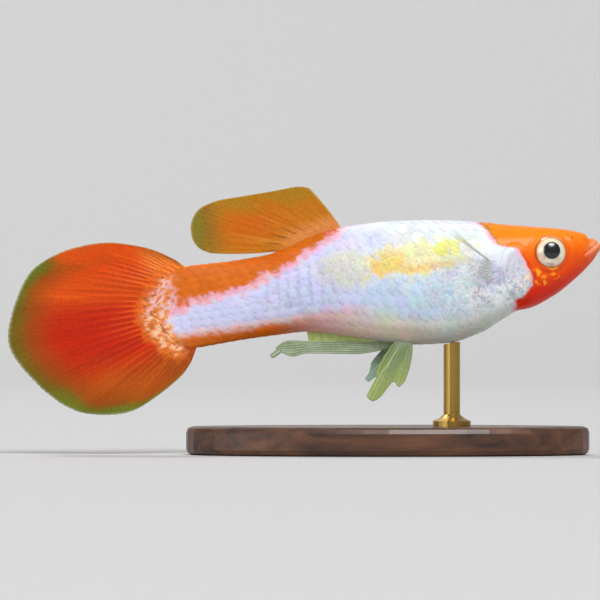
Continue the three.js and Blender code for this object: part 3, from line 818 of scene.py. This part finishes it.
def one_scale(settings, draw, side, back, girth, start):
    """(points, colours, glitter, bake patch) of a scale: a grid on top, then one point beneath."""
    along, across = np.meshgrid(SCALE_STEPS, np.linspace(-1, 1, SCALE_COLUMNS), indexing="ij")
    narrow = np.sqrt(np.clip(1 - (np.clip(along - SCALE_ROOT, 0, 1) / 0.56) ** 2, 0.0, 1))
    grown = settings.scale_length * 1000 * (1.75 if back < 33 else 1.5) * draw.uniform(0.97, 1.04)
    b = np.clip(back + (along - SCALE_ROOT) * grown, 0.05, BODY_END - 0.02)
    g = side * (girth + side * across * narrow * 0.62 / settings.scale_rows)
    g = np.clip(g, -0.02, 1.0)
    spot, normal = BODY.at(b, side * np.where(np.abs(g) < 1e-6, 1e-6, g))
    tilt = draw.uniform(-0.006, 0.006)
    lift = -0.03 + (settings.scale_proud * 1000 + 0.03) * along**0.8 + 0.012 * (1 - across**2) + tilt * across
    lift = lift - 0.07 * step(start + 0.7, start - 0.5, b)
    swell = 0.02 * hump(b, 9.3, 0.4) * step(2, 0, spot[..., 2])
    lift = lift * step(37.6, 35, b) + swell - 0.02 * step(35, 37.6, b)
    top = spot + normal * lift[..., None]
    beneath = (spot[3, 2] + spot[3, 3]) / 2 - normal[3, 2] * 0.05
    shade = body_markings_and_eye_shade(top, settings) * draw.uniform(0.95, 1.04)
    tint = 1 - draw.uniform(0, 0.13, 3)
    shade = painted(shade, (shade * tint, step(9, 11, b) * (1 - 0.5 * step(26, 33, b))))
    dark = hump(along, 0.86, 0.07) * step(1.05, 0.5, np.abs(across))
    light = hump(along, 0.97, 0.05)
    shade = np.clip(shade * (1 - 0.06 * dark + 0.03 * light)[..., None], 0, 1)
    sparkle = shoulder_glitter(b, spot[..., 2])
    middle = np.array([back / 40, 0.5 + girth / 2.1])
    patch = middle + 0.0015 * np.stack([2 * along - 1, across], -1)
    return (
        np.vstack([top.reshape(-1, 3), beneath]),
        np.vstack([shade.reshape(-1, 3), shade[3, 2]]),
        np.append(sparkle.ravel(), 0),
        np.vstack([patch.reshape(-1, 2), middle]),
    )


class GUPPY_OT_scales(bpy.types.Operator):
    """Covers the body with overlapping scales, from the nape to the root of the tail"""

    bl_idname = "guppy.scales"
    bl_label = "Scales"

    def execute(self, context):
        settings = context.scene.guppy
        material = pearly_skin("guppy_scale", 0.95, 0.000015)
        # A scale is a lens of 52 faces: 30 quads on top, and a fan of 22 triangles down to a point beneath
        steps = len(SCALE_STEPS)
        beneath = steps * SCALE_COLUMNS
        quads = grid_faces(steps, SCALE_COLUMNS)[:, ::-1]
        rim = grid_rim(steps, SCALE_COLUMNS)
        fan = np.stack([rim, np.roll(rim, -1), np.full(len(rim), beneath)], -1)
        crisp = np.isin(np.arange(beneath + 1), rim)
        for word, side in SIDES:
            draw = np.random.default_rng(settings.seed + side)
            scales = [one_scale(settings, draw, side, *place) for place in scale_places(settings, side)]
            points, shades, glints, patches = (np.concatenate(parts) for parts in zip(*scales))
            offsets = (beneath + 1) * np.arange(len(scales))[:, None, None]
            faces = [(quads + offsets).reshape(-1, 4), (fan + offsets).reshape(-1, 3)]
            edges = np.tile(crisp, len(scales))
            made = make_piece(
                f"scales_{word}", points, faces, material, shades, {"glitter": glints}, patches, edges
            )
        return {"FINISHED"}


class GUPPY_OT_eyes(bpy.types.Operator):
    """Makes the two eyes: a glossy ball with a silvery iris and a bulging black pupil"""

    bl_idname = "guppy.eyes"
    bl_label = "Eyes"

    def execute(self, context):
        material = wet_eye()
        outer = flank_out(EYE_BACK, EYE_UP) + EYE_PROUD - EYE_DEPTH
        polar = np.concatenate([np.linspace(0, 1.25, 56), np.linspace(1.25, math.pi, 20)[1:]])
        turn = np.linspace(0, 2 * math.pi, 96, endpoint=False)
        p, t = np.meshgrid(polar, turn, indexing="ij")
        across = EYE_RADIUS * np.sin(p)
        forward, upward = across * np.cos(t), across * np.sin(t)
        lens = np.hypot(forward - 0.04, upward - 0.16)
        proud = EYE_DEPTH * np.cos(p) + 0.07 * step(0.82, 0.62, lens) * (p < 1.4)
        c, s = math.cos(EYE_TURN), math.sin(EYE_TURN)
        for word, side in SIDES:
            x = -EYE_BACK + forward * c + proud * s
            y = side * (outer + proud * c - forward * s)
            points = np.stack([x, y, EYE_UP + upward], -1)
            blotch = mottle(points, 0.35, 5) + 0.5 * mottle(points, 0.15, 6)
            low = step(0.2, -0.9, upward + 0.5 * forward)
            iris = painted(
                "#e6dcc4",
                ("#c98a78", 0.7 * step(0.75, 1.05, blotch) * low),
                ("#f7d9a0", 0.5 * step(0.95, 1.1, across) * step(0, 0.6, upward - 0.4 * forward)),
                # The orange of the skin round the eye, darkened as painted shade where the eyeball sinks into
                # its socket
                ("#c8733c", 0.85 * step(1.12, 1.26, across)),
                ("#8a7a6a", 0.6 * step(0.78, 0.7, lens)),
                ((0.004, 0.004, 0.005), step(PUPIL_RADIUS + 0.015, PUPIL_RADIUS - 0.015, lens)),
            )
            quads = grid_faces(len(polar), len(turn), closed=True)
            eye = make_piece(f"eyeball_{word}", points.reshape(-1, 3), [quads], material, iris.reshape(-1, 3))
            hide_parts(f"eye_{word}")
        return {"FINISHED"}


def make_tail_fin(material, settings):
    """The round tail fin: red core, orange above and below, and an olive edge."""
    margin = side_curve([
        (35.7, 4.1), (37.4, 5.2), (39.4, 5.97), (41.4, 6.42), (43.5, 6.42), (45.6, 6.05), (47.7, 5.1),
        (48.8, 3.85), (49.8, 2.15), (50.6, 0.2), (50.68, -1.2), (49.95, -2.9), (48.65, -4.75), (46.85, -6.65),
        (45.3, -7.55), (42.4, -8.08), (40.8, -7.9), (38.4, -6.8), (36.4, -5.5), (35.6, -4.6),
    ])

    def root(v):
        return np.stack([np.full_like(v, -34.9), np.zeros_like(v), 3.3 * (1 - 2 * v)], -1)

    def flame(points, u, v, ray):
        back, up = -points[..., 0], points[..., 2]
        from_edge = (1 - u) * np.linalg.norm(margin(v) - root(v), axis=-1)
        streak, broad = along_rays(u, v, 60, 2.2, 11), along_rays(u, v, 26, 1.2, 16)
        wide, slow = along_rays(u, v, 14, 2.5, 12) - 0.5, along_rays(u, v, 6, 0.4, 15) - 0.5
        near_root = step(0.1, 0.17, u) * step(0.52, 0.22, u + 0.25 * wide)
        lines = step(0.3, 0.8, ray) * step(0.2, 0.7, broad) * near_root
        gaps = (1 - step(0.1, 0.5, ray)) * step(0.1, 0.2, u) * step(0.85, 0.5, u)
        thread = step(0.24, 0.12, streak) * step(0.35, 0.5, u)
        pale = step(0.78, 0.9, streak) * step(0.3, 0.5, u) * step(0.95, 0.75, u)
        wavy = from_edge * (1 + 0.9 * slow) - 0.9 * wide
        top = step(4.4, 5.6, up) * step(47, 44.8, back)
        band = (0.3 + 0.7 * step(36.5, 43, back)) * (1 - 0.9 * top)
        greener = np.clip(step(-4.4, -7, up) + step(1.6, 3.4, up) * step(45.5, 47.5, back), 0, 1)
        shade = painted(
            settings.flame,
            ("#dd4f04", step(0.6, 2.6, up + wide)),
            ("#c02000", 0.9 * blob(back, up, (43.9, -1.4), (4.4, 2.3))),
            ("#b65206", 0.95 * step(-2.6, -5.6, up + 1.5 * wide) * step(47, 42, back)),
            ("#d94302", 0.8 * blob(back, up, (42, 4.9), (3.5, 1.3))),
            ("#e27a26", 0.9 * step(39.5, 37, back + wide) * step(2.2, 3.4, up)),
            ("#a04804", 0.9 * step(40, 37, back) * step(-2.8, -3.8, up)),
            ("#ff8420", 0.85 * lines * step(-2.6, -0.5, up)),
            ("#ffb868", 0.5 * lines * step(0.27, 0.15, u) * step(-1.5, 0.5, up)),
            ("#9c1e00", 0.4 * gaps * step(0.75, 0.3, streak)),
            ("#8a2a04", 0.4 * thread),
            ("#e2660c", 0.5 * pale),
            ("#8e4c06", 0.8 * step(3.4, 0.9, wavy) * band),
            (settings.olive, 0.85 * step(1.5, 0.3, wavy) * band),
            ("#61761e", 0.75 * step(1.3, 0.1, wavy) * greener * band),
            ("#a9ad86", 0.9 * step(0.2, 0.08, from_edge)),
        )
        shade = tail_root_paint(points, shade)
        return np.clip(shade * (1 + 0.25 * (broad - 0.5))[..., None], 0, 1)

    def bend(u, v):
        return 0.42 * u * u * np.sin(v * 7.5 + 0.6)

    tail = fin_piece(
        "tail_fin", fanned(root, margin, SIDEWAYS), SIDEWAYS, material, flame, settings,
        rays=20, forks=(0.3, 0.62), rows=64, fine=7, bend=bend, bodies=(0.99, 0.93), notch=0.004,
    )
    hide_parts("caudal_fin")


def make_dorsal_fin(material, settings):
    """The long dorsal fin, laid back over the tail stalk: amber, with an olive tip."""
    margin = side_curve([
        (23.6, 8.4), (24.4, 8.68), (26.6, 8.64), (29.4, 8.58), (31.8, 8.5), (33.3, 7.95), (34, 6.9),
        (34.02, 5.6), (33.55, 4.75), (32.7, 4.22),
    ])

    def root(v):
        back = 21.4 + 4.9 * v
        return np.stack([-back, np.zeros_like(v), top_line(back) - 0.25], -1)

    def amber(points, u, v, ray):
        back, up = -points[..., 0], points[..., 2]
        wide, streak = along_rays(u, v, 7, 2.5, 21), along_rays(u, v, 34, 2, 22)
        shade = painted(
            settings.amber,
            ("#c96204", blob(back, up, (29, 6.0), (3.2, 1.5))),
            ("#dd8c4a", 0.85 * step(1.7, 0.3, up - top_line(back)) * step(27.5, 25.5, back)),
            ("#a67c14", 0.75 * step(0.42, 0.06, 1 - u + 0.4 * (wide - 0.5))),
            ("#86661a", 0.85 * step(31, 33.4, back + 1.5 * (wide - 0.5))),
            ("#7c7a20", 0.7 * step(33, 34, back + 0.6 * wide)),
            ("#d98a30", 0.45 * step(0.5, 0.85, streak) * step(0.75, 0.2, u)),
            ("#4c3410", 0.75 * step(0.62, 0.98, ray) * step(0.42, 0.12, u) * step(0.3, 0.6, v)),
            ("#bca566", 0.9 * step(0.02, 0.007, np.minimum(1 - u, v))),
        )
        return np.clip(shade, 0, 1)

    def bend(u, v):
        return 0.25 * u * u * np.sin(v * 5 + 1)

    dorsal = fin_piece(
        "back_fin", fanned(root, margin, SIDEWAYS, 0.05), SIDEWAYS, material, amber, settings,
        rays=8, forks=(0.35, 0.65), rows=54, fine=10, bend=bend, bodies=(0.98, 0.9), notch=0.004, ridge=0.6,
    )
    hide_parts("dorsal_fin")


class GUPPY_OT_tail(bpy.types.Operator):
    """Makes the round tail fin and the dorsal fin"""

    bl_idname = "guppy.tail"
    bl_label = "Tail and dorsal fins"

    def execute(self, context):
        material = fin_membrane("flame_fin_membrane", 0.42)
        make_tail_fin(material, context.scene.guppy)
        make_dorsal_fin(material, context.scene.guppy)
        return {"FINISHED"}


class GUPPY_OT_breast_fins(bpy.types.Operator):
    """Makes the clear pectoral fins behind the gill covers"""

    bl_idname = "guppy.breast_fins"
    bl_label = "Pectoral fins"

    def execute(self, context):
        settings = context.scene.guppy
        material = fin_membrane("clear_fin_membrane", 0.3)
        splay, back, rise, root_height = 0.5, 9.75, -0.7, 1.1
        span, highest, lowest = 4.9, 0.89, -0.4
        forward, sunk = 0.55, 0.6
        out = flank_out(back, rise) + 0.6

        def clear(points, u, v, ray):
            first = hump(v, 1 / 16, 0.35 / 16)
            return painted(
                "#d9dcd2",
                ("#b8b48c", 0.6 * ray),
                ("#6a6a48", 0.8 * first),
                ("#c6c8d6", 0.9 * step(0.2, 0.06, u)),
            )

        for word, side in SIDES:
            rearwards = np.array([-math.cos(splay), side * math.sin(splay), 0])
            normal = np.array([math.sin(splay), side * math.cos(splay), 0])

            def start(v):
                place = [np.full_like(v, -back), np.full_like(v, side * out), rise + root_height * (0.5 - v)]
                return np.stack(place, -1)

            def root(v):
                return start(v) - rearwards * forward - np.array([0, side * sunk, 0])

            def tip(v):
                lift = (highest + (lowest - highest) * v)[..., None]
                reach = (span * (1 - 0.22 * (2 * v - 0.75) ** 2))[..., None]
                return start(v) + reach * (rearwards * np.cos(lift) + np.array([0, 0, 1]) * np.sin(lift))

            fin = fin_piece(
                f"breast_fin_{word}", fanned(root, tip, normal), normal, material, clear, settings,
                rays=8, forks=(0.5,), rows=30, fine=10, thin=0.6, bodies=(0.2, 0.05), notch=0.03,
                lead=0.38, fleshy=0.7,
            )
            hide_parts(f"pectoral_fin_{word}")
        return {"FINISHED"}


def make_belly_fin(word, side, splay, tint, margin, material, settings):
    """A pelvic fin: a short fan whose rays are drawn out into a ribbon."""
    curve = side_curve(margin)
    normal = np.array([0, math.cos(splay), side * math.sin(splay)])
    root_out = 0.95

    def root(v):
        back = 16.9 + 1.2 * v
        return np.stack([-back, np.full_like(v, side * root_out), belly_up(back, root_out) + 0.25], -1)

    def tip(v):
        point = curve(v)
        drop = root(v)[..., 2] - 0.57 - point[..., 2]
        point[..., 1] = side * (root_out + drop * math.tan(splay))
        return point

    def reed(points, u, v, ray):
        wide = along_rays(u, v, 5, 3, 31)
        return painted(
            settings.reed,
            (tint, step(0.25, 0.8, u + 0.4 * (wide - 0.5))),
            ("#c9d0c4", 0.6 * step(0.2, 0, u)),
            ("#d5dcb0", 0.45 * ray * step(0.4, 0.8, wide)),
            ("#6f8060", 0.35 * (1 - ray) * step(0.95, 0.3, u)),
        )

    fin = fin_piece(
        f"belly_fin_{word}", fanned(root, tip, normal, 0.12), normal, material, reed, settings,
        rays=9, forks=(0.5,), rows=48, fine=10, bodies=(0.95, 0.76), notch=0.008,
    )
    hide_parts(f"pelvic_fin_{word}")


def make_gonopodium(material, settings):
    """The male's drawn-out anal fin: a rayed blade, a hook at its tip, and a low web up to the belly."""
    lower = side_curve([
        (18.6, -5.95), (21.3, -6.03), (23, -5.79), (24.6, -5.54), (26.1, -5.33), (27.1, -5.42), (27.8, -5.1),
        (28.3, -4.75),
    ])
    upper = side_curve([
        (18.6, -5.3), (21.1, -5.02), (22.9, -4.68), (25.7, -4.3), (27.3, -4.02), (28, -4.2), (28.45, -4.5),
    ])
    hook_root, hook_tip = np.array([-28.0, 0, -4.72]), np.array([-28.95, 0, -5.2])

    def blade_at(u, v):
        return lower(u) * (1 - v)[..., None] + upper(u) * v[..., None]

    def web_at(u, v):
        back = 18.9 + 6.7 * v
        top = bottom_line(back) + 0.2
        foot = -6.0 + 1.25 * v
        return np.stack([-back, np.zeros_like(v), top * (1 - u) + foot * u], -1)

    def hook_at(u, v):
        width = 0.2 * np.sqrt(np.clip(1 - (2 * u - 1) ** 4, 0.02, 1))
        across = ((v - 0.5) * width)[..., None] * np.array([1, 0, -2])
        return hook_root + (hook_tip - hook_root) * u[..., None] + across

    def pale(points, u, v, ray):
        return painted(
            "#a3af92",
            ("#8c9f78", step(0.3, 0.7, along_rays(u, v, 4, 8, 41))),
            ("#c4cab8", 0.55 * step(0.5, 0.9, ray)),
            ("#6f8162", 0.35 * step(0.5, 0.1, ray)),
        )

    def mossy(points, u, v, ray):
        return painted("#b2c274", ("#cccda4", step(0.4, 0, v)), ("#7d8c4c", 0.4 * ray))

    blade = fin_piece(
        "rod_fin", blade_at, SIDEWAYS, material, pale, settings,
        rays=6, rows=90, fine=12, bodies=(0.97, 0.82), thin=1.6, ridge=0.6, notch=0.0,
    )
    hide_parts("gonopodium")
    web = fin_piece(
        "rod_fin_web", web_at, SIDEWAYS, material, mossy, settings,
        rays=9, rows=14, fine=8, bodies=(0.95, 0.88), notch=0.0,
    )
    hook = fin_piece(
        "rod_fin_hook", hook_at, SIDEWAYS, material, pale, settings,
        rays=1, rows=16, fine=16, bodies=(0.98, 0.95), thin=1.6, notch=0.0,
    )


class GUPPY_OT_belly_fins(bpy.types.Operator):
    """Makes the pelvic fins with their ribbons, and the gonopodium with its web"""

    bl_idname = "guppy.belly_fins"
    bl_label = "Belly fins"

    def execute(self, context):
        settings = context.scene.guppy
        material = fin_membrane("reed_fin_membrane", 0.4)
        make_belly_fin("right", -1, 0.2, "#95a65c", [
            (18.1, -8.9), (18.65, -9.24), (19.02, -8.75), (19.7, -9.3), (20.3, -9.85), (21, -10.12),
            (21.45, -9.65), (20.95, -9.1), (20.45, -8.5), (20.4, -7.9),
        ], material, settings)
        make_belly_fin("left", 1, 0.24, "#a4c9b0", [
            (18.7, -7.9), (19.4, -8.2), (19.95, -7.95), (20.5, -8.2), (21.1, -8.47), (21.35, -8.2),
            (21, -7.85), (20.75, -7.3), (20.65, -6.95),
        ], material, settings)
        make_gonopodium(material, settings)
        return {"FINISHED"}


class GUPPY_OT_stand(bpy.types.Operator):
    """Finishes the stand's base and rod"""

    bl_idname = "guppy.stand"
    bl_label = "Stand"

    def execute(self, context):
        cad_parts["stand_base"].material_slots[0].material = waxed_walnut()
        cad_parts["stand_rod"].material_slots[0].material = brushed_brass()
        return {"FINISHED"}


class GUPPY_OT_studio(bpy.types.Operator):
    """Lays the pale floor and sets the soft lights and the camera"""

    bl_idname = "guppy.studio"
    bl_label = "Studio"

    def execute(self, context):
        self.lay_floor(context)
        for name, place, size, power in (
            ("key", (0.4, -1.2, 1.35), 0.9, 27.0),
            ("fill", (-1.4, -1.0, 0.45), 1.0, 9.0),
            ("rim", (-0.3, 0.45, 0.9), 0.4, 5.0),
        ):
            lamp = bpy.data.lights.new(name, "AREA")
            lamp.shape = "DISK"
            lamp.size = size
            lamp.energy = power
            light = bpy.data.objects.new(name, lamp)
            light.location = place
            light.rotation_euler = (CENTRE - Vector(place)).to_track_quat("-Z", "Y").to_euler()
            context.scene.collection.objects.link(light)
        world = bpy.data.worlds.new("studio")
        world.use_nodes = True
        background = world.node_tree.nodes["Background"]
        plug(world.node_tree, background, {"Color": (1, 1, 1, 1), "Strength": 0.3})
        context.scene.world = world
        context.scene.view_settings.view_transform = "Standard"

        lens = bpy.data.cameras.new("camera")
        lens.lens = LENS
        lens.sensor_width = SENSOR
        lens.clip_start = 0.01
        camera = bpy.data.objects.new("camera", lens)
        seen = PHOTO_WIDTH * FISH_LENGTH / FISH_WIDTH
        camera.location = CENTRE - Vector((0, seen * LENS / SENSOR, 0))
        camera.rotation_euler = (math.pi / 2, 0, 0)
        context.scene.collection.objects.link(camera)
        context.scene.camera = camera
        return {"FINISHED"}

    def lay_floor(self, context):
        """A sweep of paper: flat under the model, then curving up far behind it into a wall."""
        near, far, curve, wall, half = -1.4, 0.5, 0.4, 1.6, 1.6
        turn = np.linspace(0, math.pi / 2, 24)
        depth = np.concatenate([[near], far + curve * np.sin(turn), [far + curve]])
        height = np.concatenate([[0], curve - curve * np.cos(turn), [wall]])
        points = [(x, y, z) for y, z in zip(depth, height) for x in (-half, half)]
        faces = [(2 * k, 2 * k + 1, 2 * k + 3, 2 * k + 2) for k in range(len(depth) - 1)]
        mesh = bpy.data.meshes.new("floor")
        mesh.from_pydata(points, [], faces)
        mesh.shade_smooth()
        mesh.materials.append(matt_paper())
        floor = bpy.data.objects.new("floor", mesh)
        context.scene.collection.objects.link(floor)


OPERATORS = (
    GUPPY_OT_skin, GUPPY_OT_scales, GUPPY_OT_eyes, GUPPY_OT_tail, GUPPY_OT_breast_fins, GUPPY_OT_belly_fins,
    GUPPY_OT_stand, GUPPY_OT_studio,
)


class GUPPY_PT_panel(bpy.types.Panel):
    """Lists the guppy's settings and pieces"""

    bl_label = "Fancy guppy"
    bl_space_type = "VIEW_3D"
    bl_region_type = "UI"
    bl_category = "Guppy"

    def draw(self, context):
        for name in GuppySettings.__annotations__:
            self.layout.prop(context.scene.guppy, name)
        for operator in OPERATORS:
            self.layout.operator(operator.bl_idname)


CLASSES = (GuppySettings, *OPERATORS, GUPPY_PT_panel)


def register():
    for item in CLASSES:
        bpy.utils.register_class(item)
    bpy.types.Scene.guppy = bpy.props.PointerProperty(type=GuppySettings)


def unregister():
    del bpy.types.Scene.guppy
    for item in reversed(CLASSES):
        bpy.utils.unregister_class(item)


def main():
    register()
    bpy.ops.guppy.skin()
    bpy.ops.guppy.scales()
    bpy.ops.guppy.eyes()
    bpy.ops.guppy.tail()
    bpy.ops.guppy.breast_fins()
    bpy.ops.guppy.belly_fins()
    bpy.ops.guppy.stand()
    bpy.ops.guppy.studio()


if __name__ == "__main__":
    main()
